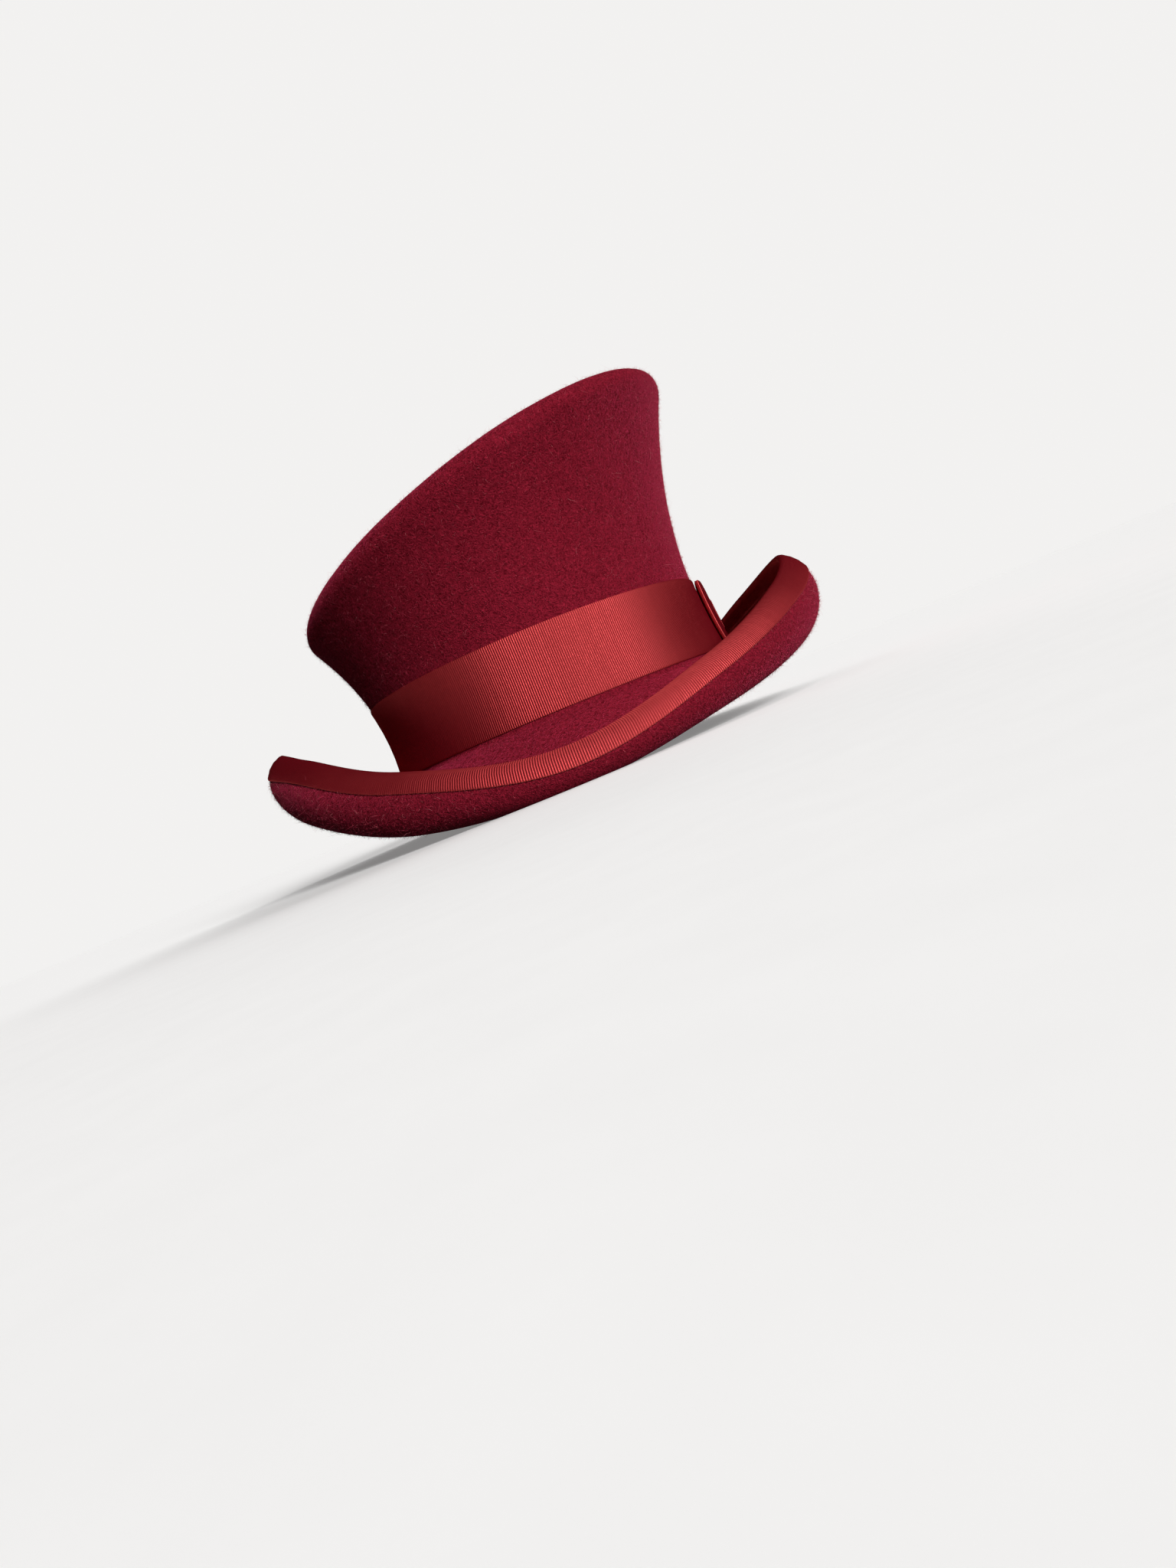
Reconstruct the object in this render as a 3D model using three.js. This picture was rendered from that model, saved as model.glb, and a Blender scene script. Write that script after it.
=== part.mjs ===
// Slanted felt top hat: flared crown, brim rolled up all round, ribbon band, bound edge and side bow.
// Millimetres, +Z up. The wearer's front faces -Y. The tall side of the crown and the bow face +X.
// Heights are taken from the headline, where crown and brim meet, and the hat is stood on z = 0 last.
// Angles go round the hat from +X towards +Y.
import * as THREE from 'three';

const degrees = THREE.MathUtils.degToRad;
const { lerp, smoothstep } = THREE.MathUtils;

// Felt, ribbon and the clearance between sewn pieces
const FELT = 2.2;
const RIBBON = 1.0;
const GAP = 0.3;

// Outside of the felt at the headline, for a 57 cm head
const HEAD_HALF_WIDTH = 85;
const HEAD_HALF_LENGTH = 101.5;

// Crown: height on its axis, rise of the top towards the tall side, and the wall's flare and waist
const CROWN_HEIGHT = 109.5;
const TOP_SLANT = 0.26;
const TOP_FLARE = 16.2;
const WAIST = 17;
const WAIST_LEAN = 6.6;
const TOP_EDGE_RADIUS = 7;
const TOP_EDGE_LEAN = degrees(24);
const TIP_DOME = 2;

// Brim: a short collar under the band, a foot where the felt turns outwards, and the roll
const COLLAR_HEIGHT = 12;
const FOOT_LEVEL = -1.5;
const FOOT_RADIUS = 2.5;

// How far the headline stands above the surface, with the felt pressed flat where it rests
const REST_DEPTH = 29.3;

// Brim sections: reach and height of the rolled edge, radius of the roll outside the felt,
// and the turn at which the roll ends, in degrees above level
const BRIM_SECTIONS = [
  { at: 0, reach: 42, edge: 32.5, roll: 18.5, turn: 60 },
  { at: 30, reach: 41.5, edge: 24.5, roll: 15.5, turn: 67 },
  { at: 60, reach: 42, edge: 1.5, roll: 10.5, turn: 80 },
  { at: 90, reach: 43, edge: -14.5, roll: 8, turn: 87 },
  { at: 120, reach: 42.5, edge: -6, roll: 10.5, turn: 80 },
  { at: 150, reach: 45, edge: 12, roll: 16, turn: 66 },
  { at: 180, reach: 52.5, edge: 34, roll: 12, turn: 70 },
  { at: 210, reach: 42.5, edge: 23.5, roll: 15, turn: 85 },
  { at: 240, reach: 40.5, edge: 1, roll: 13, turn: 85 },
  { at: 270, reach: 42, edge: -14.5, roll: 8, turn: 88 },
  { at: 300, reach: 39.5, edge: -2, roll: 10.5, turn: 82 },
  { at: 330, reach: 39.5, edge: 17, roll: 15.5, turn: 68 },
];

// Ribbons: width of the binding on the rolled side, and the band's foot and width
const BINDING_WIDTH = 12;
const BAND_FOOT = 1.2;
const BAND_WIDTH = 36;

// Side bow: place and size of the flat loop, and the wrap that gathers its middle
const BOW = {
  at: degrees(9),
  halfLength: 30,
  halfHeight: 17.2,
  foldRadius: 1,
  gatherBack: 9.5,
  gatherFront: 6.8,
  gatherReach: 8,
  spreadReach: 22,
  rise: 2.9,
};
const KNOT = { halfWidth: 6.5, cornerRadius: 3.8, backRadius: 1 };

// Facets: columns round the hat and steps along each stretch of a section
const COLUMNS = 72;
const STEPS = {
  outerWall: 8, innerWall: 5, outerTopEdge: 4, innerTopEdge: 3, tip: 3, foot: 2, rollOver: 4, rollUnder: 6,
  bindingLeg: 3, bindingFold: 3, band: 3, bowLayer: 12, bowFold: 4, knotCorner: 4,
};

const FELT_FINISH = { color: 0x78142d, roughness: 0.95, metalness: 0 };
const RIBBON_FINISH = { color: 0x9c2434, roughness: 0.55, metalness: 0 };

// Point at a height, and at a distance outside the headline oval
function place(angle, out, height) {
  const cos = Math.cos(angle);
  const sin = Math.sin(angle);
  const normal = new THREE.Vector2(cos / HEAD_HALF_WIDTH, sin / HEAD_HALF_LENGTH).normalize();
  const x = HEAD_HALF_WIDTH * cos + normal.x * out;
  const y = HEAD_HALF_LENGTH * sin + normal.y * out;
  return new THREE.Vector3(x, y, height);
}

// Evenly spaced values from one end to the other, both ends included
function spread(from, to, steps) {
  return Array.from({ length: steps + 1 }, (_, i) => lerp(from, to, i / steps));
}

// Mesh of a closed body from points and triangles, with its faces turned outwards
function closedBody(name, points, triangles, finish) {
  const cross = new THREE.Vector3();
  const volumeOf = ([a, b, c]) => points[a].dot(cross.crossVectors(points[b], points[c]));
  const volume = triangles.reduce((sum, triangle) => sum + volumeOf(triangle), 0);
  const outward = volume > 0 ? triangles : triangles.map(([a, b, c]) => [a, c, b]);
  const geometry = new THREE.BufferGeometry().setFromPoints(points);
  geometry.setIndex(outward.flat());
  geometry.computeVertexNormals();
  const mesh = new THREE.Mesh(geometry, new THREE.MeshStandardMaterial(finish));
  mesh.name = name;
  return mesh;
}

// Ring whose closed section is given at each step of the way round
function ringBody(name, sections, finish) {
  const size = sections[0].length;
  const triangles = [];
  for (let i = 0; i < sections.length; i += 1) {
    const next = (i + 1) % sections.length;
    for (let j = 0; j < size; j += 1) {
      const after = (j + 1) % size;
      const [a, b] = [i * size + j, i * size + after];
      const [c, d] = [next * size + after, next * size + j];
      triangles.push([a, b, c], [a, c, d]);
    }
  }
  return closedBody(name, sections.flat(), triangles, finish);
}

// Angle of each column round the hat
const columnAngles = Array.from({ length: COLUMNS }, (_, i) => (i / COLUMNS) * 2 * Math.PI);

// Height of the slanted top over a point across the hat
function topHeight(x) {
  return CROWN_HEIGHT + TOP_SLANT * x;
}

// Height at which the wall runs into the rounded top edge
function wallHeight(angle) {
  const rim = place(angle, TOP_FLARE, 0);
  return topHeight(rim.x) - TOP_EDGE_RADIUS * (1 + Math.sin(TOP_EDGE_LEAN));
}

// How far the outside of the wall stands from the headline oval
function wallOut(angle, height) {
  const t = height / wallHeight(angle);
  const waist = WAIST + WAIST_LEAN * Math.cos(angle);
  return TOP_FLARE * t * t - waist * t * (1 - t);
}

// One skin of the crown in a column, from the wall's foot to the edge of the tip
function crownSkin(angle, inset, wallSteps, edgeSteps) {
  const foot = COLLAR_HEIGHT + GAP;
  const radius = TOP_EDGE_RADIUS - inset;
  const edgeOut = TOP_FLARE - TOP_EDGE_RADIUS * Math.cos(TOP_EDGE_LEAN);
  const wall = spread(foot, wallHeight(angle), wallSteps).map(
    (height) => place(angle, wallOut(angle, height) - inset, height));
  const edge = spread(-TOP_EDGE_LEAN, Math.PI / 2, edgeSteps).map((turn) => {
    const point = place(angle, edgeOut + radius * Math.cos(turn), 0);
    point.z = topHeight(point.x) - TOP_EDGE_RADIUS + radius * Math.sin(turn);
    return point;
  });
  return [...wall.slice(0, -1), ...edge];
}

// Crown: wall and slightly domed tip in one felt cup, open below
function crown() {
  const outer = columnAngles.map(
    (angle) => crownSkin(angle, 0, STEPS.outerWall, STEPS.outerTopEdge));
  const inner = columnAngles.map(
    (angle) => crownSkin(angle, FELT, STEPS.innerWall, STEPS.innerTopEdge));
  const tipRing = (skin, share) => skin.map((column) => {
    const rim = column.at(-1);
    const lift = TIP_DOME * (1 - share * share);
    const fall = TOP_SLANT * rim.x * (1 - share);
    return new THREE.Vector3(rim.x * share, rim.y * share, rim.z - fall + lift);
  });
  const shares = spread(1, 0, STEPS.tip).slice(1, -1);
  const rows = outer[0].map((_, row) => outer.map((column) => column[row]));
  const innerRows = inner[0].map((_, row) => inner.map((column) => column[row]));
  const rings = [
    ...shares.toReversed().map((share) => tipRing(inner, share)),
    ...innerRows.toReversed(),
    ...rows,
    ...shares.map((share) => tipRing(outer, share)),
  ];
  const points = rings.flat();
  const triangles = [];
  for (let ring = 0; ring + 1 < rings.length; ring += 1) {
    for (let i = 0; i < COLUMNS; i += 1) {
      const next = (i + 1) % COLUMNS;
      const [a, b] = [ring * COLUMNS + i, ring * COLUMNS + next];
      triangles.push([a, b, b + COLUMNS], [a, b + COLUMNS, a + COLUMNS]);
    }
  }
  const centreHeight = CROWN_HEIGHT + TIP_DOME;
  const innerCentre = points.push(new THREE.Vector3(0, 0, centreHeight - FELT)) - 1;
  const outerCentre = points.push(new THREE.Vector3(0, 0, centreHeight)) - 1;
  const lastRing = (rings.length - 1) * COLUMNS;
  for (let i = 0; i < COLUMNS; i += 1) {
    const next = (i + 1) % COLUMNS;
    triangles.push([innerCentre, next, i], [outerCentre, lastRing + i, lastRing + next]);
  }
  return closedBody('crown', points, triangles, FELT_FINISH);
}

// One column of the brim table at any angle, joined smoothly round the hat
function brimValue(angle, column) {
  const count = BRIM_SECTIONS.length;
  const position = (angle / (2 * Math.PI)) * count;
  const row = Math.floor(position);
  const t = position - row;
  const [before, from, to, after] = [-1, 0, 1, 2].map(
    (step) => BRIM_SECTIONS[(row + step + count) % count][column]);
  const slopeFrom = (to - before) / 2;
  const slopeTo = (after - from) / 2;
  const bend = 3 * (to - from) - 2 * slopeFrom - slopeTo;
  const twist = 2 * (from - to) + slopeFrom + slopeTo;
  return from + slopeFrom * t + bend * t * t + twist * t * t * t;
}

// The roll in a column: its centre, its radius outside the felt, the turns where it ends and where
// the binding starts, and the heading of the brim towards it
function brimRoll(angle) {
  const radius = brimValue(angle, 'roll');
  const end = degrees(brimValue(angle, 'turn'));
  const out = brimValue(angle, 'reach') - radius * Math.cos(end);
  const height = brimValue(angle, 'edge') - radius * Math.sin(end);
  const across = new THREE.Vector2(out - FOOT_RADIUS, height - FOOT_LEVEL - FOOT_RADIUS);
  const lift = Math.asin((radius - FELT - FOOT_RADIUS) / across.length());
  const bound = end - BINDING_WIDTH / radius;
  return { out, height, radius, end, bound, heading: across.angle() - lift };
}

// One skin of the brim in a column, from the collar's top round the foot and along the roll
function brimSkin(angle, inset, rollSteps) {
  const roll = brimRoll(angle);
  const level = -Math.PI / 2 + roll.heading;
  const rollStart = level > Math.PI / 2 ? level - 2 * Math.PI : level;
  const footEnd = rollStart + 2 * Math.PI;
  const footHeight = FOOT_LEVEL + FOOT_RADIUS;
  const footRadius = FOOT_RADIUS + inset;
  const rollRadius = roll.radius - FELT + inset;
  const collar = place(angle, wallOut(angle, COLLAR_HEIGHT) - inset, COLLAR_HEIGHT);
  const foot = spread(Math.PI, footEnd, STEPS.foot).map((turn) => place(
    angle, FOOT_RADIUS + footRadius * Math.cos(turn), footHeight + footRadius * Math.sin(turn)));
  const bareTurns = spread(rollStart, roll.bound, rollSteps);
  const boundTurns = spread(roll.bound, roll.end, STEPS.bindingLeg).slice(1);
  const rolled = [...bareTurns, ...boundTurns].map((turn) => place(
    angle, roll.out + rollRadius * Math.cos(turn), roll.height + rollRadius * Math.sin(turn)));
  const floor = FELT - inset - REST_DEPTH;
  rolled.forEach((point) => point.setZ(Math.max(point.z, floor)));
  return [collar, ...foot, ...rolled];
}

// Brim: felt collar, foot and roll, pressed flat at the front and back where it rests
function brim() {
  const sections = columnAngles.map((angle) => [
    ...brimSkin(angle, 0, STEPS.rollOver),
    ...brimSkin(angle, FELT, STEPS.rollUnder).toReversed(),
  ]);
  return ringBody('brim', sections, FELT_FINISH);
}

// One face of the folded binding in a column, from the rolled side over the edge to the inner side
function bindingSkin(angle, clearance) {
  const roll = brimRoll(angle);
  const at = (radius, turn, ahead) => place(
    angle,
    roll.out + radius * Math.cos(turn) - ahead * Math.sin(turn),
    roll.height + radius * Math.sin(turn) + ahead * Math.cos(turn));
  const outerRadius = roll.radius + clearance;
  const innerRadius = roll.radius - FELT - clearance;
  const middle = (outerRadius + innerRadius) / 2;
  const half = (outerRadius - innerRadius) / 2;
  const outerLeg = spread(roll.bound, roll.end, STEPS.bindingLeg).map((turn) => at(outerRadius, turn, 0));
  const fold = spread(0, Math.PI, STEPS.bindingFold).map((turn) => at(
    middle + half * Math.cos(turn), roll.end, GAP + half * Math.sin(turn)));
  const innerLeg = spread(roll.end, roll.bound, STEPS.bindingLeg).map((turn) => at(innerRadius, turn, 0));
  return [...outerLeg.slice(0, -1), ...fold, ...innerLeg.slice(1)];
}

// Binding: ribbon folded over the rolled edge
function brimBinding() {
  const sections = columnAngles.map((angle) => [
    ...bindingSkin(angle, GAP + RIBBON),
    ...bindingSkin(angle, GAP).toReversed(),
  ]);
  return ringBody('brim_binding', sections, RIBBON_FINISH);
}

// Band: wide ribbon round the foot of the crown, over the join with the brim
function hatBand() {
  const heights = spread(BAND_FOOT, BAND_FOOT + BAND_WIDTH, STEPS.band);
  const face = (angle, clearance) => heights.map(
    (height) => place(angle, wallOut(angle, height) + clearance, height));
  const sections = columnAngles.map((angle) => [
    ...face(angle, GAP + RIBBON),
    ...face(angle, GAP).toReversed(),
  ]);
  return ringBody('hat_band', sections, RIBBON_FINISH);
}

// Point of the bow: along the band, up from the band's middle line and out from the band's face
function onBand(along, up, out) {
  const angle = BOW.at + along / HEAD_HALF_LENGTH;
  const height = BAND_FOOT + BAND_WIDTH / 2 + up;
  return place(angle, wallOut(angle, height) + GAP + RIBBON + out, height);
}

// Closed path moved sideways by a distance, outwards from the path's own turning side
function offsetPath(path, distance) {
  return path.map((point, i) => {
    const before = path.at(i - 1);
    const after = path[(i + 1) % path.length];
    const tangent = new THREE.Vector2().subVectors(after, before).normalize();
    return new THREE.Vector2(point.x + tangent.y * distance, point.y - tangent.x * distance);
  });
}

// Middle lines of the bow's two layers over the band, at a distance along from the wrap
const backLine = GAP + RIBBON / 2;
const wrapRoom = RIBBON + GAP;
function bowBack(along) {
  return backLine + wrapRoom * (1 - smoothstep(Math.abs(along), BOW.gatherReach, 2 * BOW.gatherReach));
}
function bowFront(along) {
  const flat = smoothstep(Math.abs(along), BOW.gatherReach, BOW.halfLength - BOW.foldRadius);
  return backLine + 2 * BOW.foldRadius + BOW.rise * (1 - flat);
}

// Bow loops: one flat ribbon loop, gathered at the middle
function bowLoops() {
  const end = BOW.halfLength - BOW.foldRadius;
  const foldTurns = spread(-Math.PI / 2, Math.PI / 2, STEPS.bowFold).slice(1, -1);
  const fold = (side) => foldTurns.map((turn) => new THREE.Vector2(
    side * (end + BOW.foldRadius * Math.cos(turn)),
    backLine + BOW.foldRadius * (1 + side * Math.sin(turn))));
  const layer = (line, from, to) => spread(from, to, STEPS.bowLayer).map(
    (along) => new THREE.Vector2(along, line(along)));
  const path = [
    ...layer(bowBack, -end, end), ...fold(1),
    ...layer(bowFront, end, -end), ...fold(-1),
  ];
  const outer = offsetPath(path, RIBBON / 2);
  const inner = offsetPath(path, -RIBBON / 2);
  const sections = path.map((point, i) => {
    const along = Math.abs(point.x);
    const front = point.y > bowBack(point.x) + BOW.foldRadius;
    const gathered = front ? BOW.gatherFront : BOW.gatherBack;
    const half = lerp(gathered, BOW.halfHeight, smoothstep(along, BOW.gatherReach, BOW.spreadReach));
    return [
      onBand(outer[i].x, -half, outer[i].y), onBand(outer[i].x, half, outer[i].y),
      onBand(inner[i].x, half, inner[i].y), onBand(inner[i].x, -half, inner[i].y),
    ];
  });
  return ringBody('bow_loops', sections, RIBBON_FINISH);
}

// Bow knot: ribbon wrap round the gathered middle of the loops
function bowKnot() {
  const halfHeight = BOW.gatherBack + GAP + RIBBON / 2;
  const frontLine = bowFront(0) + RIBBON + GAP;
  const corner = (up, out, radius, from) => spread(from, from + Math.PI / 2, STEPS.knotCorner).map(
    (turn) => new THREE.Vector2(up + radius * Math.cos(turn), out + radius * Math.sin(turn)));
  const frontUp = halfHeight - KNOT.cornerRadius;
  const frontOut = frontLine - KNOT.cornerRadius;
  const backUp = halfHeight - KNOT.backRadius;
  const backOut = backLine + KNOT.backRadius;
  const path = [
    ...corner(frontUp, frontOut, KNOT.cornerRadius, 0),
    ...corner(-frontUp, frontOut, KNOT.cornerRadius, Math.PI / 2),
    ...corner(-backUp, backOut, KNOT.backRadius, Math.PI),
    ...corner(backUp, backOut, KNOT.backRadius, 1.5 * Math.PI),
  ];
  const outer = offsetPath(path, RIBBON / 2);
  const inner = offsetPath(path, -RIBBON / 2);
  const sections = path.map((_, i) => [
    onBand(-KNOT.halfWidth, outer[i].x, outer[i].y), onBand(KNOT.halfWidth, outer[i].x, outer[i].y),
    onBand(KNOT.halfWidth, inner[i].x, inner[i].y), onBand(-KNOT.halfWidth, inner[i].x, inner[i].y),
  ]);
  return ringBody('bow_knot', sections, RIBBON_FINISH);
}

const hat = new THREE.Group();
hat.add(crown(), brim(), brimBinding(), hatBand(), bowLoops(), bowKnot());

// Stand the hat on its flattened brim, with the origin under the middle of its box
const box = new THREE.Box3().setFromObject(hat);
const middle = box.getCenter(new THREE.Vector3());
hat.position.set(-middle.x, -middle.y, -box.min.z);

export default hat;
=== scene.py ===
"""Slanted felt top hat: brushed felt crown and rolled brim, ribbed ribbon band, bound edge and side bow."""
import math

import bpy
import numpy as np
from mathutils import Matrix, Vector


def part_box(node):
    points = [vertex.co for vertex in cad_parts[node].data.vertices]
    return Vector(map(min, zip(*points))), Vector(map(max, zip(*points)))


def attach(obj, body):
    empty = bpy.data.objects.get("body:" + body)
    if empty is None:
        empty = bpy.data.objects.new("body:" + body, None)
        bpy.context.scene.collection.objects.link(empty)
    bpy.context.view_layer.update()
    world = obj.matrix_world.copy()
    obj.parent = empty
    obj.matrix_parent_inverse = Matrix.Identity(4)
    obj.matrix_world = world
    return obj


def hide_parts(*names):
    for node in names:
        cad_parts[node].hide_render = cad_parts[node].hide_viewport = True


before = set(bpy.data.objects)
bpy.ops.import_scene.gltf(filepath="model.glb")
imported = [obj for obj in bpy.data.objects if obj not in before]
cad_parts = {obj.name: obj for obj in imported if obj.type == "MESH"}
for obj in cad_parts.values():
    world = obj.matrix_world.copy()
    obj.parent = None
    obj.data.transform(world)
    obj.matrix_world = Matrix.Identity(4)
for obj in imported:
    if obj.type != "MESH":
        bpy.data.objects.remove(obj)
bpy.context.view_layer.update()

MM = 0.001

# Felt and ribbon, in millimetres as every size below
FELT = 2.2
RIBBON = 1.0
GAP = 0.3

# Headline oval, outside the felt
HEAD_HALF_WIDTH = 85.0
HEAD_HALF_LENGTH = 101.5

# Crown: height on its axis, rise of the top towards the tall side, flare, waist, top edge, dome and swells
CROWN_HEIGHT = 109.5
TOP_SLANT = 0.26
TOP_FLARE = 16.2
WAIST = 17.0
WAIST_LEAN = 6.6
TOP_EDGE_RADIUS = 7.0
TOP_EDGE_LEAN = math.radians(24)
TIP_DOME = 2.0
CROWN_UNEVENNESS = 0.5
SWELLS_PER_METRE = 28.0
MERGE_DISTANCE = 0.01
CROWN_STEPS = {"Columns": 240, "Wall rows": 48, "Edge rows": 12, "Tip rows": 30}

# Brim: collar under the band, foot where the felt turns outwards, and level of the surface it rests on
COLLAR_HEIGHT = 12.0
FOOT_LEVEL = -1.5
FOOT_RADIUS = 2.5
REST_DEPTH = 29.3
BRIM_STEPS = {"Columns": 288, "Collar rows": 5, "Foot rows": 6, "Level rows": 8, "Roll rows": 30,
              "Bound rows": 8}
BRIM_COLUMNS = ("reach", "edge", "roll", "turn")
BRIM_SECTIONS = np.array([
    # reach and height of the rolled edge, radius of the roll, and turn where it ends, each 30 degrees
    (42.0, 32.5, 18.5, 60.0),
    (41.5, 24.5, 15.5, 67.0),
    (42.0, 1.5, 10.5, 80.0),
    (43.0, -14.5, 8.0, 87.0),
    (42.5, -6.0, 10.5, 80.0),
    (45.0, 12.0, 16.0, 66.0),
    (52.5, 34.0, 12.0, 70.0),
    (42.5, 23.5, 15.0, 85.0),
    (40.5, 1.0, 13.0, 85.0),
    (42.0, -14.5, 8.0, 88.0),
    (39.5, -2.0, 10.5, 82.0),
    (39.5, 17.0, 15.5, 68.0),
])

# Felt's surface: fibres, clouds of the dye and depth of the grain
FIBRE_SIZE = 1.2
CLOUD_SIZE = 30.0
GRAIN_DEPTH = 0.4

# Loose fibres: where they start above the band and the floor, and the count of short ones and strays
NAP_OVER_BAND = 0.3
NAP_OVER_FLOOR = 4.4
STRAYS_HIGHER = 2.0
NAP_COUNTS = {"crown": (38000, 3000), "brim_over": (12000, 300), "brim_under": (34000, 2400)}
PALE_RARITY = 8.0

# Ribbons: shown thickness, seat over the felt, pressed sewn edges, ribs and threads
SHOWN_RIBBON = 0.5
RIBBON_SEAT = 0.1
EDGE_PRESS = 0.25
EDGE_REACH = 0.8
RIB_PITCH = 0.97
RIB_HEIGHT = 0.2
RIB_UNEVENNESS = 0.07
RIB_SAMPLES = 6
RIB_ROUNDING = 0.001
THREAD_PITCH = 0.36
THREAD_DEPTH = 0.07

# Binding on the rolled edge: width on each side, rows as shares of it, and steps round its fold
BINDING_WIDTH = 12.0
BINDING_ROWS = (0.0, 0.03, 0.07, 0.4, 0.7, 1.0)
BINDING_FOLD_STEPS = 5

# Band round the crown: height of its foot, width, and rows near its edges and over its face
BAND_FOOT = 1.2
BAND_WIDTH = 36.0
BAND_EDGE_ROWS = (0.0, 0.3, 0.8)
BAND_FACE_INSET = 4.0
BAND_FACE_ROWS = 5

# Side bow: flat loop, the wrap that gathers its middle, and rows as shares of their half width
BOW_AT = math.radians(9)
BOW_HALF_LENGTH = 30.0
BOW_HALF_HEIGHT = 17.2
BOW_FOLD_RADIUS = 0.7
BOW_GATHER_BACK = 9.5
BOW_GATHER_FRONT = 6.8
BOW_GATHER_REACH = 8.0
BOW_SPREAD_REACH = 22.0
BOW_RISE = 2.9
KNOT_HALF_WIDTH = 6.5
KNOT_CORNER_RADIUS = 3.8
KNOT_BACK_RADIUS = 1.0
LOOP_OUTER_ROWS = (-1.0, -0.97, -0.6, -0.2, 0.2, 0.6, 0.97, 1.0)
LOOP_INNER_ROWS = (1.0, 0.3, -0.3, -1.0)
LOOP_EDGE_PRESS = 0.15
LOOP_RIB_SHARE = 0.8
LOOP_RUN_STEPS = 120
LOOP_TURN_STEPS = 12

# Stitches just below the binding
STITCH_SPACING = 2.3
STITCH_LENGTH = 1.0
STITCH_THICKNESS = 0.22
STITCH_WANDER = 0.5
STITCH_BELOW = 0.2
STITCH_RAISE = 0.15
STITCH_LINE_STEPS = 720
TWISTS_PER_METRE = 4000.0

# First seed of each kind of random piece
SEEDS = {"nap": 11, "strays": 21, "ribs": 31, "stitches": 41}

# Steps in which the length of a curve round the hat is measured
CURVE_STEPS = 4000

# Place of the headline's centre in the frame, from the crown's and the band's boxes
crown_low, crown_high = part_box("crown")
band_low, band_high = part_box("hat_band")
HEADLINE = np.array([
    (crown_low.x + crown_high.x) / 2,
    (crown_low.y + crown_high.y) / 2,
    band_low.z - BAND_FOOT * MM,
])

# Camera, from the headline's centre: place, turn, downward pitch, roll and focal length
CAMERA_PLACE = np.array([18.8, -586.0, -15.4])
CAMERA_YAW = math.radians(-2.09)
CAMERA_PITCH = math.radians(1.90)
CAMERA_ROLL = math.radians(22.43)
CAMERA_LENS = 27.04
CAMERA_CLIP = 5.0

# Room: light from its two sides, the bright one right of and above the hat, and pale ground behind
DARK_SIDE = 0.03
BRIGHT_SIDE = 0.06
BRIGHT_RIGHT = 0.8
BRIGHT_UP = 0.6
DARK_UNTIL = -0.3
PALE_GROUND = 0.89
ROOM_WHITE = (1.0, 0.99, 0.98, 1.0)

# Floor: disc of faintly mottled paper
FLOOR_RADIUS = 6000.0
FLOOR_STEPS = 96
PAPER_GRAINS_PER_METRE = 90.0
PAPER_DEEP = (0.685, 0.678, 0.672, 1.0)
PAPER_BRIGHT = (0.724, 0.717, 0.71, 1.0)

# Lights: heading right of, above and in front of the hat as the camera sees it, spread in degrees, strength
LIGHTS = {
    "key": {"heading": (0.28, 0.5, 0.87), "spread": 30.0, "strength": 4.1, "glints": True},
    "back": {"heading": (0.3, 0.85, -0.45), "spread": 35.0, "strength": 1.5, "glints": False},
    "far_fill": {"heading": (0.0, 0.3, -0.95), "spread": 40.0, "strength": 1.6, "glints": False},
}


# Formulas and node trees

class Term:
    """A socket of a node tree that stands in a formula of math nodes."""

    def __init__(self, net, socket):
        self.net = net
        self.socket = socket

    def __add__(self, other):
        return self.net.math("ADD", self, other)

    def __sub__(self, other):
        return self.net.math("SUBTRACT", self, other)

    def __rsub__(self, other):
        return self.net.math("SUBTRACT", other, self)

    def __mul__(self, other):
        return self.net.math("MULTIPLY", self, other)

    def __truediv__(self, other):
        return self.net.math("DIVIDE", self, other)

    def __rtruediv__(self, other):
        return self.net.math("DIVIDE", other, self)

    __radd__ = __add__
    __rmul__ = __mul__


class Net:
    """A node tree being built, with nodes added by type and joined by socket."""

    def __init__(self, tree):
        self.tree = tree

    def feed(self, socket, value):
        if isinstance(value, Term):
            self.tree.links.new(value.socket, socket)
        else:
            socket.default_value = value

    def add(self, kind, inputs=None, **settings):
        node = self.tree.nodes.new(kind)
        for name, value in settings.items():
            setattr(node, name, value)
        for key, value in (inputs or {}).items():
            self.feed(node.inputs[key], value)
        return node

    def out(self, node, key=0):
        return Term(self, node.outputs[key])

    def term(self, kind, inputs=None, key=0, **settings):
        return self.out(self.add(kind, inputs, **settings), key)

    def math(self, operation, *values, clamp=False):
        return self.term("ShaderNodeMath", dict(enumerate(values)), operation=operation, use_clamp=clamp)

    def vector(self, operation, *values):
        return self.term("ShaderNodeVectorMath", dict(enumerate(values)), operation=operation)

    def scaled(self, vector, factor):
        return self.term("ShaderNodeVectorMath", {"Vector": vector, "Scale": factor}, operation="SCALE")

    def combine(self, x, y, z):
        return self.term("ShaderNodeCombineXYZ", {0: x, 1: y, 2: z})

    def split(self, vector):
        node = self.add("ShaderNodeSeparateXYZ", {0: vector})
        return [self.out(node, axis) for axis in range(3)]

    def noise(self, vector, scale, detail, key="Fac"):
        return self.term("ShaderNodeTexNoise", {"Vector": vector, "Scale": scale, "Detail": detail}, key)

    def mix(self, factor, first, second):
        return self.term("ShaderNodeMix", {0: factor, 6: first, 7: second}, 2, data_type="RGBA")

    def ramp(self, value, low, high):
        """Value carried from low..high to 0..1 and kept in there."""
        return self.term("ShaderNodeMapRange", {"Value": value, "From Min": low, "From Max": high})


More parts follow.
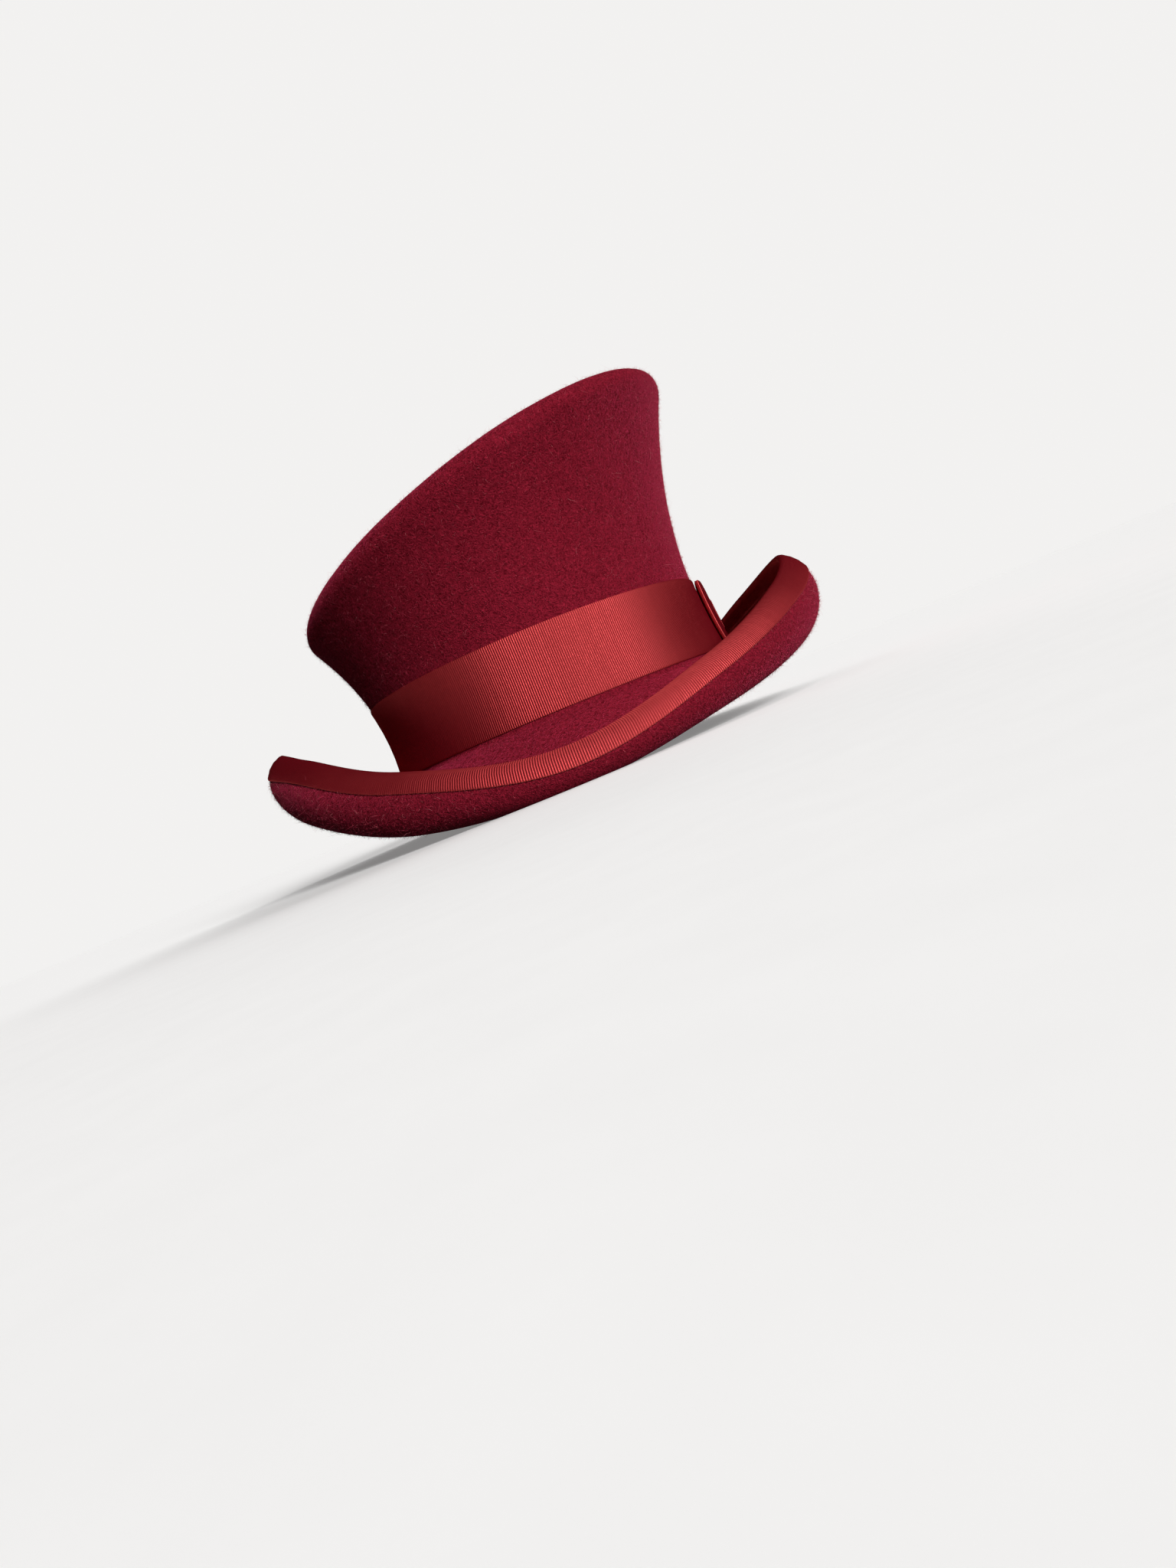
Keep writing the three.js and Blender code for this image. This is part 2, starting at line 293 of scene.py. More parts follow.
def node_group(name, kind, inputs, outputs):
    """A new node group with named sockets: its net, its inputs as terms and its output node."""
    tree = bpy.data.node_groups.new(name, kind)
    for in_out, sockets in (("INPUT", inputs), ("OUTPUT", outputs)):
        for label, socket_type in sockets.items():
            tree.interface.new_socket(label, in_out=in_out, socket_type="NodeSocket" + socket_type)
    net = Net(tree)
    start = tree.nodes.new("NodeGroupInput")
    terms = {label: net.out(start, label) for label in inputs}
    return net, terms, tree.nodes.new("NodeGroupOutput")


def settle(piece):
    """Turns what a piece's modifiers make into its plain mesh."""
    graph = bpy.context.evaluated_depsgraph_get()
    made = bpy.data.meshes.new_from_object(
        piece.evaluated_get(graph), preserve_all_data_layers=True, depsgraph=graph)
    piece.modifiers.clear()
    piece.data = made
    made.name = piece.name
    return piece


def run_tree(tree, piece, values):
    """Runs a geometry tree over a piece, with the tree's inputs set by name, and keeps its plain mesh."""
    modifier = piece.modifiers.new(tree.name, "NODES")
    modifier.node_group = tree
    sockets = {item.name: item.identifier for item in tree.interface.items_tree if item.in_out == "INPUT"}
    for label, value in values.items():
        modifier[sockets[label]] = value
    return settle(piece)


def new_object(name, mesh):
    piece = bpy.data.objects.new(name, mesh)
    bpy.context.scene.collection.objects.link(piece)
    return piece


def finish_piece(piece, slot, *nodes):
    """Puts a piece on the hat's body, in place of the solids that it stands for."""
    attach(piece, "root")
    if nodes:
        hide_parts(*nodes)


# Shape of the hat, in millimetres from the headline's centre

def place(angle, out, height):
    """Points at a height, and at a distance outside the headline oval."""
    angle, out, height = np.broadcast_arrays(angle, out, height)
    normal = np.stack([np.cos(angle) / HEAD_HALF_WIDTH, np.sin(angle) / HEAD_HALF_LENGTH])
    normal = normal / np.linalg.norm(normal, axis=0)
    x = HEAD_HALF_WIDTH * np.cos(angle) + normal[0] * out
    y = HEAD_HALF_LENGTH * np.sin(angle) + normal[1] * out
    return np.stack([x, y, height], axis=-1)


def wall_out(angle, height):
    """How far the outside of the crown's wall stands from the headline oval."""
    rim = place(angle, TOP_FLARE, 0.0)[..., 0]
    top = CROWN_HEIGHT + TOP_SLANT * rim - TOP_EDGE_RADIUS * (1 + math.sin(TOP_EDGE_LEAN))
    t = height / top
    waist = WAIST + WAIST_LEAN * np.cos(angle)
    return TOP_FLARE * t * t - waist * t * (1 - t)


def brim_values(angle):
    """Reach, edge, roll and turn of the brim at any angle, joined smoothly round the hat."""
    count = len(BRIM_SECTIONS)
    position = np.asarray(angle) / (2 * math.pi) * count
    row = np.floor(position).astype(int)
    t = (position - row)[..., None]
    before, here, there, after = (BRIM_SECTIONS[(row + step) % count] for step in (-1, 0, 1, 2))
    leave = (there - before) / 2
    arrive = (after - here) / 2
    bend = 3 * (there - here) - 2 * leave - arrive
    twist = 2 * (here - there) + leave + arrive
    values = here + leave * t + bend * t ** 2 + twist * t ** 3
    return dict(zip(BRIM_COLUMNS, np.moveaxis(values, -1, 0)))


def brim_roll(angle):
    """The roll's centre and outer radius, with the turns where it starts, meets the binding and ends."""
    table = brim_values(angle)
    radius = table["roll"]
    end = np.radians(table["turn"])
    out = table["reach"] - radius * np.cos(end)
    height = table["edge"] - radius * np.sin(end)
    across = np.stack([out - FOOT_RADIUS, height - FOOT_LEVEL - FOOT_RADIUS])
    lift = np.arcsin((radius - FELT - FOOT_RADIUS) / np.linalg.norm(across, axis=0))
    start = np.arctan2(across[1], across[0]) - lift - math.pi / 2
    bound = end - BINDING_WIDTH / radius
    return {"out": out, "height": height, "radius": radius, "start": start, "bound": bound, "end": end}


def smooth(value, low, high):
    """Soft step from 0 at low to 1 at high."""
    t = np.clip((value - low) / (high - low), 0, 1)
    return t * t * (3 - 2 * t)


def steps_between(first, last, count):
    """Even steps between two values for each column, both ends included."""
    share = np.linspace(0, 1, count + 1)
    return np.asarray(first)[..., None] * (1 - share) + np.asarray(last)[..., None] * share


def full_turn(count):
    """Angles in even steps, once round."""
    return np.arange(count) / count * 2 * math.pi


def lengths_along(curve):
    """Angles round the hat, and how far along a closed curve each of them lies."""
    angles = np.linspace(0, 2 * math.pi, CURVE_STEPS + 1)
    steps = np.linalg.norm(np.diff(curve(angles), axis=0), axis=-1)
    return angles, np.append(0, np.cumsum(steps))


def even_angles(curve, count):
    """Angles that part a closed curve round the hat into equal lengths."""
    angles, lengths = lengths_along(curve)
    return np.interp(np.arange(count) / count * lengths[-1], lengths, angles)


def rib_count(curve):
    """Whole number of ribs along a closed curve round the hat."""
    return round(lengths_along(curve)[1][-1] / RIB_PITCH)


# Meshes

def grid_corners(columns, rows, closed_rows):
    """Column and row of each corner of the quads over columns that go all the way round."""
    i, j = np.meshgrid(np.arange(columns), np.arange(rows if closed_rows else rows - 1), indexing="ij")
    corners = [(i, j), (i, j + 1), (i + 1, j + 1), (i + 1, j)]
    return np.stack([np.stack(corner, -1) for corner in corners], -2).reshape(-1, 4, 2)


def mesh_of(name, points, faces, uvs=None):
    """Smooth mesh from points in millimetres from the headline, with a UV for each face corner."""
    mesh = bpy.data.meshes.new(name)
    mesh.from_pydata((points * MM + HEADLINE).tolist(), [], faces.tolist())
    if uvs is not None:
        layer = mesh.uv_layers.new(name="UVMap")
        layer.data.foreach_set("uv", uvs.reshape(-1).astype(np.float32))
    mesh.polygons.foreach_set("use_smooth", np.ones(len(faces), bool))
    mesh.update()
    return mesh


def strip_mesh(name, sections):
    """Open strip through sections [column, row, xyz] that goes all the way round."""
    columns, rows = sections.shape[:2]
    corners = grid_corners(columns, rows, False)
    faces = corners[..., 0] % columns * rows + corners[..., 1]
    return mesh_of(name, sections.reshape(-1, 3), faces)


def ring_mesh(name, sections, ribs=None, across=None, ribbed=None):
    """Ring through closed sections [column, row, xyz], faces outwards.

    A ribbon's UVs count its ribs along it and its millimetres across it.
    """
    columns, rows = sections.shape[:2]
    corners = grid_corners(columns, rows, True)
    faces = corners[..., 0] % columns * rows + corners[..., 1] % rows
    points = sections.reshape(-1, 3)
    a, b, c, d = (points[faces[:, k]] for k in range(4))
    volume = np.sum(a * np.cross(b, c)) + np.sum(a * np.cross(c, d))
    order = slice(None) if volume > 0 else slice(None, None, -1)
    if ribs is None:
        return mesh_of(name, points, faces[:, order])
    count = np.linspace(0, ribs, columns + 1)
    u = count[corners[..., 0]]
    v = np.append(across, across[-1] + 1)[corners[..., 1]]
    mesh = mesh_of(name, points, faces[:, order], np.stack([u, v], -1)[:, order])
    for label, values in (("rib", np.repeat(count[:-1], rows)), ("ribbed", np.tile(ribbed, columns))):
        attribute = mesh.attributes.new(label, "FLOAT", "POINT")
        attribute.data.foreach_set("value", values.astype(np.float32))
    return mesh


# Shared surface effects

def felt_grain_group():
    """Felt's tangled fibres, tufts and cloudy dye, as a shade from 0 to 1 and a height."""
    net, given, end = node_group(
        "Felt grain", "ShaderNodeTree",
        {"Vector": "Vector", "Fibre size": "Float", "Cloud size": "Float"},
        {"Shade": "Float", "Height": "Float"})
    scale = 1.0 / given["Fibre size"]
    sway = net.vector("SUBTRACT", net.noise(given["Vector"], scale * 0.6, 1.0, "Color"), (0.5, 0.5, 0.5))
    bent = net.vector("ADD", given["Vector"], net.scaled(sway, given["Fibre size"] * 2.0))
    strands = net.math("ABSOLUTE", net.noise(bent, scale, 2.0) - 0.5)
    ridge = net.math("SUBTRACT", 1.0, strands * 8.0, clamp=True)
    flecks = net.ramp(net.noise(bent, scale * 2.1, 1.0), 0.42, 0.72)
    tufts = net.ramp(net.noise(given["Vector"], scale * 0.3, 3.0), 0.3, 0.7)
    clouds = net.ramp(net.noise(given["Vector"], 1.0 / given["Cloud size"], 3.0), 0.3, 0.7)
    net.feed(end.inputs["Shade"], ridge * 0.42 + flecks * 0.42 + tufts * 0.1 + clouds * 0.06)
    net.feed(end.inputs["Height"], ridge * 0.5 + flecks * 0.5 + tufts * 0.4)
    return net.tree


def ribbon_weave_group():
    """Ribbon's ribs and threads, as a shade from 0 in the grooves to 1 on the crests, and a height. The
    shade paints the grooves darker than the crests, as painted shade.
    """
    net, given, end = node_group(
        "Ribbon weave", "ShaderNodeTree",
        {"UV": "Vector", "Thread pitch": "Float"},
        {"Shade": "Float", "Height": "Float"})
    count, across, _ = net.split(given["UV"])
    rib = net.math("FLOOR", count)
    side = net.math("FRACT", count) * 2.0 - 1.0
    crest = net.ramp(side * side, 0.9, 0.3)
    thread = across / given["Thread pitch"] + rib * 0.5
    thread_side = net.math("FRACT", thread) * 2.0 - 1.0
    thread_bow = 1.0 - thread_side * thread_side
    cell = net.combine(rib, net.math("FLOOR", thread), 0.0)
    speck = net.term("ShaderNodeTexWhiteNoise", {"Vector": cell}, "Value", noise_dimensions="2D")
    tone = net.term("ShaderNodeTexWhiteNoise", {"W": rib}, "Value", noise_dimensions="1D")
    # Grooves at 0 take the darker colour in the finish: painted shade between the ribs
    net.feed(end.inputs["Shade"], crest * (speck * 0.35 + tone * 0.1 + 0.55))
    net.feed(end.inputs["Height"], thread_bow * 0.5 + speck * 0.7)
    return net.tree


FELT_GRAIN = felt_grain_group()
RIBBON_WEAVE = ribbon_weave_group()


# Finishes

def new_material(name):
    """A material with its net and its Principled shader."""
    material = bpy.data.materials.new(name)
    material.use_nodes = True
    net = Net(material.node_tree)
    return material, net, material.node_tree.nodes["Principled BSDF"]


def set_sockets(shader, **values):
    for name, value in values.items():
        shader.inputs[name.replace("_", " ")].default_value = value


def felt_finish(name, deep, bright):
    """Brushed felt: tangled fibres over a cloudy dye, with a soft glow at grazing angles."""
    material, net, shader = new_material(name)
    place_in = net.term("ShaderNodeTexCoord", key="Object")
    grain = net.add("ShaderNodeGroup", {
        "Vector": place_in, "Fibre size": FIBRE_SIZE * MM, "Cloud size": CLOUD_SIZE * MM},
        node_tree=FELT_GRAIN)
    net.feed(shader.inputs["Base Color"], net.mix(net.out(grain, "Shade"), deep, bright))
    bump = net.add("ShaderNodeBump", {
        "Strength": 0.8, "Distance": GRAIN_DEPTH * MM, "Height": net.out(grain, "Height")})
    net.feed(shader.inputs["Normal"], net.out(bump))
    set_sockets(shader, Roughness=0.95, Specular_IOR_Level=0.05, Sheen_Weight=0.4,
                Sheen_Roughness=0.2, Sheen_Tint=(1.0, 0.08, 0.2, 1.0))
    return material


def nap_finish(name, deep, pale):
    """Loose wool fibres, most of them dyed and few of them pale."""
    material, net, shader = new_material(name)
    shade = net.term("ShaderNodeAttribute", key="Fac", attribute_name="fibre_shade")
    net.feed(shader.inputs["Base Color"], net.mix(net.math("POWER", shade, PALE_RARITY), deep, pale))
    set_sockets(shader, Roughness=0.8, Specular_IOR_Level=0.2)
    return material


def ribbon_finish(name, deep, bright):
    """Grosgrain: thread that runs along the ribbon, glossy over the ribs, with painted shade darkening its
    colour in the grooves.
    """
    material, net, shader = new_material(name)
    uv = net.term("ShaderNodeUVMap", key="UV", uv_map="UVMap")
    weave = net.add("ShaderNodeGroup", {"UV": uv, "Thread pitch": THREAD_PITCH}, node_tree=RIBBON_WEAVE)
    shade = net.out(weave, "Shade")
    # Base colour darker in the grooves than on the crests: painted shade between the ribs
    net.feed(shader.inputs["Base Color"], net.mix(shade, deep, bright))
    net.feed(shader.inputs["Roughness"], 0.85 - shade * 0.42)
    bump = net.add("ShaderNodeBump", {
        "Strength": 1.0, "Distance": THREAD_DEPTH * MM, "Height": net.out(weave, "Height")})
    net.feed(shader.inputs["Normal"], net.out(bump))
    set_sockets(shader, IOR=2.6, Specular_IOR_Level=1.0, Specular_Tint=(1.0, 0.13, 0.13, 1.0),
                Anisotropic=0.75, Anisotropic_Rotation=0.25)
    return material


def thread_finish(name, deep, bright):
    """Sewing thread, finely mottled by its twist."""
    material, net, shader = new_material(name)
    twist = net.noise(net.term("ShaderNodeTexCoord", key="Object"), TWISTS_PER_METRE, 1.0)
    net.feed(shader.inputs["Base Color"], net.mix(twist, deep, bright))
    set_sockets(shader, Roughness=0.5)
    return material


felt = felt_finish(
    "burgundy_felt", deep=(0.07, 0.0009, 0.0045, 1.0), bright=(0.31, 0.014, 0.034, 1.0))
nap = nap_finish(
    "loose_wool", deep=(0.44, 0.021, 0.056, 1.0), pale=(0.66, 0.17, 0.19, 1.0))
stray_wool = nap_finish(
    "stray_wool", deep=(0.55, 0.07, 0.11, 1.0), pale=(0.78, 0.3, 0.32, 1.0))
# The ribbon's deep colour is painted shade for its grooves; bright is the colour on its crests
ribbon = ribbon_finish(
    "crimson_grosgrain", deep=(0.03, 0.0004, 0.002, 1.0), bright=(0.12, 0.0012, 0.006, 1.0))
thread = thread_finish(
    "maroon_thread", deep=(0.12, 0.006, 0.012, 1.0), bright=(0.35, 0.04, 0.05, 1.0))


# Crown: skin bent by formula in a node tree, then given the felt's thickness

def crown_form_tree():
    """Outer skin of the crown: wall, rounded top edge and domed tip, each a grid bent round the oval."""
    sizes = ("Half width", "Half length", "Height", "Slant", "Flare", "Waist", "Waist lean",
             "Edge radius", "Edge lean", "Dome", "Foot", "Unevenness", "Swells")
    net, given, end = node_group(
        "Crown form", "GeometryNodeTree",
        {"Geometry": "Geometry", **{label: "Float" for label in sizes},
         **{label: "Int" for label in CROWN_STEPS}, "Place": "Vector", "Felt": "Material"},
        {"Geometry": "Geometry"})

    def oval(angle, out):
        cos = net.math("COSINE", angle)
        sin = net.math("SINE", angle)
        lean_x = cos / given["Half width"]
        lean_y = sin / given["Half length"]
        size = net.math("SQRT", lean_x * lean_x + lean_y * lean_y)
        return (given["Half width"] * cos + lean_x / size * out,
                given["Half length"] * sin + lean_y / size * out)

    def top(x):
        return given["Height"] + given["Slant"] * x

    edge_out = given["Flare"] - given["Edge radius"] * net.math("COSINE", given["Edge lean"])

    def wall(angle, share):
        rim_x, _ = oval(angle, given["Flare"])
        whole = top(rim_x) - given["Edge radius"] * (net.math("SINE", given["Edge lean"]) + 1.0)
        height = given["Foot"] + (whole - given["Foot"]) * share
        t = height / whole
        waist = given["Waist"] + given["Waist lean"] * net.math("COSINE", angle)
        x, y = oval(angle, given["Flare"] * t * t - waist * t * (1.0 - t))
        return net.combine(x, y, height)

    def edge(angle, share):
        turn = share * (given["Edge lean"] + math.pi / 2) - given["Edge lean"]
        x, y = oval(angle, edge_out + given["Edge radius"] * net.math("COSINE", turn))
        return net.combine(x, y, top(x) + given["Edge radius"] * (net.math("SINE", turn) - 1.0))

    def tip(angle, share):
        kept = 1.0 - share
        x, y = oval(angle, edge_out)
        return net.combine(x * kept, y * kept, top(x * kept) + given["Dome"] * (1.0 - kept * kept))

    join = net.add("GeometryNodeJoinGeometry")
    for rows, formula in (("Tip rows", tip), ("Edge rows", edge), ("Wall rows", wall)):
        grid = net.term("GeometryNodeMeshGrid", {
            "Size X": 1.0, "Size Y": 1.0,
            "Vertices X": given["Columns"] + 1.0, "Vertices Y": given[rows] + 1.0})
        x, y, _ = net.split(net.term("GeometryNodeInputPosition"))
        bent = net.term("GeometryNodeSetPosition", {
            "Geometry": grid, "Position": formula((x + 0.5) * (2 * math.pi), y + 0.5)})
        net.feed(join.inputs[0], bent)
    skin = net.term("GeometryNodeMergeByDistance", {
        "Geometry": net.out(join), "Distance": MERGE_DISTANCE * MM})
    swell = net.noise(net.term("GeometryNodeInputPosition"), given["Swells"], 2.0) - 0.5
    dent = net.scaled(net.term("GeometryNodeInputNormal"), swell * given["Unevenness"])
    uneven = net.term("GeometryNodeSetPosition", {"Geometry": skin, "Offset": dent})
    placed = net.term("GeometryNodeTransform", {"Geometry": uneven, "Translation": given["Place"]})
    shaded = net.term("GeometryNodeSetShadeSmooth", {0: placed})
    realized = net.term("GeometryNodeRealizeInstances", {0: shaded})
    net.feed(end.inputs[0], net.term("GeometryNodeSetMaterial", {
        "Geometry": realized, "Material": given["Felt"]}))
    return net.tree


def crown_skin():
    """The crown's outer skin, open below."""
    skin = new_object("crown_felt", bpy.data.meshes.new("crown_felt"))
    return run_tree(crown_form_tree(), skin, {
        "Half width": HEAD_HALF_WIDTH * MM, "Half length": HEAD_HALF_LENGTH * MM,
        "Height": CROWN_HEIGHT * MM, "Slant": TOP_SLANT, "Flare": TOP_FLARE * MM,
        "Waist": WAIST * MM, "Waist lean": WAIST_LEAN * MM, "Edge radius": TOP_EDGE_RADIUS * MM,
        "Edge lean": TOP_EDGE_LEAN, "Dome": TIP_DOME * MM, "Foot": (COLLAR_HEIGHT + GAP) * MM,
        "Unevenness": CROWN_UNEVENNESS * MM, "Swells": SWELLS_PER_METRE, "Place": HEADLINE.tolist(),
        "Felt": felt, **CROWN_STEPS})


crown_felt = crown_skin()
crown_skin_mesh = crown_felt.data.copy()
thickness = crown_felt.modifiers.new("Felt", "SOLIDIFY")
thickness.thickness = FELT * MM
thickness.offset = -1.0
finish_piece(settle(crown_felt), "felt", "crown")


# Brim: rolled felt through the sections of the table, pressed flat where it rests

def brim_skin(angle, inset):
    """One skin of the brim, collar to rolled edge, as [column, row, xyz], and how many rows stay bare."""
    roll = brim_roll(angle)
    across = angle[:, None]
    collar_heights = np.linspace(
        COLLAR_HEIGHT, FOOT_LEVEL + FOOT_RADIUS, BRIM_STEPS["Collar rows"] + 1)[:-1]
    collar_share = collar_heights[None] / COLLAR_HEIGHT
    collar_out = wall_out(across, COLLAR_HEIGHT) * collar_share - inset
    collar = place(across, collar_out, np.broadcast_to(collar_heights, collar_out.shape))
    foot_turn = steps_between(
        np.full_like(angle, math.pi), roll["start"] + 2 * math.pi, BRIM_STEPS["Foot rows"])
    foot = place(across, FOOT_RADIUS + (FOOT_RADIUS + inset) * np.cos(foot_turn),
                 FOOT_LEVEL + FOOT_RADIUS + (FOOT_RADIUS + inset) * np.sin(foot_turn))
    turn = np.concatenate([
        steps_between(roll["start"], roll["bound"], BRIM_STEPS["Roll rows"]),
        steps_between(roll["bound"], roll["end"], BRIM_STEPS["Bound rows"])[:, 1:]], axis=1)
    radius = roll["radius"] - FELT + inset
    rolled = place(across, roll["out"][:, None] + radius[:, None] * np.cos(turn),
                   roll["height"][:, None] + radius[:, None] * np.sin(turn))
    flat_share = np.linspace(0, 1, BRIM_STEPS["Level rows"] + 2)[1:-1, None]
    level = foot[:, -1:] * (1 - flat_share) + rolled[:, :1] * flat_share
    skin = np.concatenate([collar, foot, level, rolled], axis=1)
    skin[..., 2] = np.maximum(skin[..., 2], FELT - inset - REST_DEPTH)
    return skin, skin.shape[1] - BRIM_STEPS["Bound rows"]


brim_angles = full_turn(BRIM_STEPS["Columns"])
over_skin, bare_rows = brim_skin(brim_angles, 0.0)
under_skin, _ = brim_skin(brim_angles, FELT)
brim_felt = new_object("brim_felt", ring_mesh(
    "brim_felt", np.concatenate([over_skin, under_skin[:, ::-1]], axis=1)))
brim_felt.data.materials.append(felt)
finish_piece(brim_felt, "felt", "brim")


# Loose fibres of the felt, standing on its bare skins

def nap_tree():
    """Short curved fibres scattered over a skin, above a height."""
    net, given, end = node_group(
        "Felt nap", "GeometryNodeTree",
        {"Geometry": "Geometry", "Density": "Float", "Length": "Float", "Thickness": "Float",
         "Segments": "Int", "Curl": "Float", "Least lean": "Float", "Most lean": "Float",
         "Least size": "Float", "Most size": "Float", "From height": "Float", "Seed": "Int",
         "Fibre": "Material"},
        {"Geometry": "Geometry"})
    _, _, height = net.split(net.term("GeometryNodeInputPosition"))
    bare = net.term("FunctionNodeCompare", {0: height, 1: given["From height"]},
                    data_type="FLOAT", operation="GREATER_THAN")
    roots = net.add("GeometryNodeDistributePointsOnFaces", {
        "Mesh": given["Geometry"], "Selection": bare, "Density": given["Density"], "Seed": given["Seed"]})
    spike = net.term("GeometryNodeMeshCone", {
        "Vertices": 3, "Side Segments": given["Segments"], "Radius Top": 0.0,
        "Radius Bottom": given["Thickness"] * 0.5, "Depth": given["Length"]}, fill_type="NGON")
    _, _, rise = net.split(net.term("GeometryNodeInputPosition"))
    curl = net.combine(rise * rise * given["Curl"] / given["Length"], 0.0, 0.0)
    fibre = net.term("GeometryNodeSetPosition", {"Geometry": spike, "Offset": curl})
    smooth_fibre = net.term("GeometryNodeSetShadeSmooth", {0: fibre})
    turn = net.term("FunctionNodeRandomValue", {
        0: net.combine(given["Least lean"], 0.0, 0.0),
        1: net.combine(given["Most lean"], 0.0, 2 * math.pi), "Seed": given["Seed"]},
        data_type="FLOAT_VECTOR")
    rotation = net.term("FunctionNodeRotateRotation", {
        "Rotation": net.out(roots, "Rotation"),
        "Rotate By": net.term("FunctionNodeEulerToRotation", {0: turn})}, rotation_space="LOCAL")
    size = net.term("FunctionNodeRandomValue", {
        2: given["Least size"], 3: given["Most size"], "Seed": given["Seed"] + 1.0}, 1)
    planted = net.term("GeometryNodeInstanceOnPoints", {
        "Points": net.out(roots, "Points"), "Instance": smooth_fibre, "Rotation": rotation, "Scale": size})
    shade = net.term("FunctionNodeRandomValue", {2: 0.0, 3: 1.0, "Seed": given["Seed"] + 2.0}, 1)
    marked = net.term("GeometryNodeStoreNamedAttribute", {
        "Geometry": planted, "Name": "fibre_shade", "Value": shade}, data_type="FLOAT", domain="INSTANCE")
    realized = net.term("GeometryNodeRealizeInstances", {0: marked})
    net.feed(end.inputs[0], net.term("GeometryNodeSetMaterial", {
        "Geometry": realized, "Material": given["Fibre"]}))
    return net.tree


NAP = nap_tree()


def nap_piece(name, skin, from_height, count, seed, look):
    """Fibres on a skin mesh above a height, about a given number of them."""
    heights = np.array([vertex.co.z for vertex in skin.vertices])
    area = sum(face.area for face in skin.polygons if heights[face.vertices[0]] > from_height)
    piece = run_tree(NAP, new_object(name, skin.copy()), {
        "Density": count / area, "From height": from_height, "Seed": seed, **look})
    finish_piece(piece, "felt")


SHORT_NAP = {"Length": 1.7 * MM, "Thickness": 0.085 * MM, "Segments": 1, "Curl": 0.0,
             "Least lean": 0.6, "Most lean": 1.45, "Least size": 0.45, "Most size": 1.3, "Fibre": nap}
STRAY_NAP = {"Length": 2.8 * MM, "Thickness": 0.08 * MM, "Segments": 3, "Curl": 1.3,
             "Least lean": 0.3, "Most lean": 1.2, "Least size": 0.45, "Most size": 1.3, "Fibre": stray_wool}
collar_rows = BRIM_STEPS["Collar rows"]
brim_over_bare = strip_mesh("brim_over_bare", over_skin[:, collar_rows:bare_rows])
brim_under_bare = strip_mesh("brim_under_bare", under_skin[:, bare_rows:collar_rows:-1])
band_clear = band_high.z + NAP_OVER_BAND * MM
floor_clear = HEADLINE[2] - (REST_DEPTH - NAP_OVER_FLOOR) * MM
for step, (name, skin, nap_from) in enumerate((
        ("crown", crown_skin_mesh, band_clear),
        ("brim_over", brim_over_bare, floor_clear),
        ("brim_under", brim_under_bare, floor_clear))):
    short_count, stray_count = NAP_COUNTS[name]
    strays_from = nap_from + STRAYS_HIGHER * MM
    nap_piece(name + "_nap", skin, nap_from, short_count, SEEDS["nap"] + step, SHORT_NAP)
    nap_piece(name + "_strays", skin, strays_from, stray_count, SEEDS["strays"] + step, STRAY_NAP)


# Ribbons: smooth bodies, ribbed by a node tree

def rib_tree():
    """Ribs across a ribbon, raised from its faces along the ribbon's length."""
    net, given, end = node_group(
        "Grosgrain ribs", "GeometryNodeTree",
        {"Geometry": "Geometry", "Height": "Float", "Unevenness": "Float", "Seed": "Int",
         "Ribbon": "Material"},
        {"Geometry": "Geometry"})
    count = net.term("GeometryNodeInputNamedAttribute", {"Name": "rib"}, data_type="FLOAT")
    ribbed = net.term("GeometryNodeInputNamedAttribute", {"Name": "ribbed"}, data_type="FLOAT")
    side = net.math("FRACT", count) * 2.0 - 1.0
    crest = 1.0 - side * side
    change = net.term("FunctionNodeRandomValue", {
        2: 1.0 - given["Unevenness"], 3: 1.0 + given["Unevenness"],
        "ID": net.math("FLOOR", count + RIB_ROUNDING), "Seed": given["Seed"]}, 1)
    lift = net.scaled(net.term("GeometryNodeInputNormal"), crest * given["Height"] * change * ribbed)
    raised = net.term("GeometryNodeSetPosition", {"Geometry": given["Geometry"], "Offset": lift})
    realized = net.term("GeometryNodeRealizeInstances", {0: raised})
    net.feed(end.inputs[0], net.term("GeometryNodeSetMaterial", {
        "Geometry": realized, "Material": given["Ribbon"]}))
    return net.tree


RIBS = rib_tree()


def ribbed_piece(mesh, seed, node):
    """Ribbon with its ribs raised, in place of a node's solid."""
    piece = run_tree(RIBS, new_object(mesh.name, mesh), {
        "Height": RIB_HEIGHT * MM, "Unevenness": RIB_UNEVENNESS, "Seed": seed, "Ribbon": ribbon})
    finish_piece(piece, "ribbon", node)


def band_mesh():
    """Band: outer face with pressed edges, and inner face, over the join of crown and brim."""
    middle = BAND_FOOT + BAND_WIDTH / 2

    def line(angle):
        return place(angle, wall_out(angle, middle), middle)

    ribs = rib_count(line)
    angle = even_angles(line, ribs * RIB_SAMPLES)[:, None]
    edge = np.array(BAND_EDGE_ROWS)
    inner = np.linspace(BAND_FACE_INSET, BAND_WIDTH - BAND_FACE_INSET, BAND_FACE_ROWS)
    face = np.concatenate([edge, inner, BAND_WIDTH - edge[::-1]])
    back = np.array([BAND_WIDTH, BAND_WIDTH / 2, 0])
    press = EDGE_PRESS * (1 - smooth(np.minimum(face, BAND_WIDTH - face), 0, EDGE_REACH))
    across = np.concatenate([face, back])
    clear = np.concatenate([GAP + SHOWN_RIBBON - press, np.full(len(back), RIBBON_SEAT)])
    ribbed = np.repeat([1.0, 0.0], [len(face), len(back)])
    height = (BAND_FOOT + across)[None]
    points = place(angle, wall_out(angle, height) + clear[None], height)
    return ring_mesh("hat_band_ribbon", points, ribs, across, ribbed)


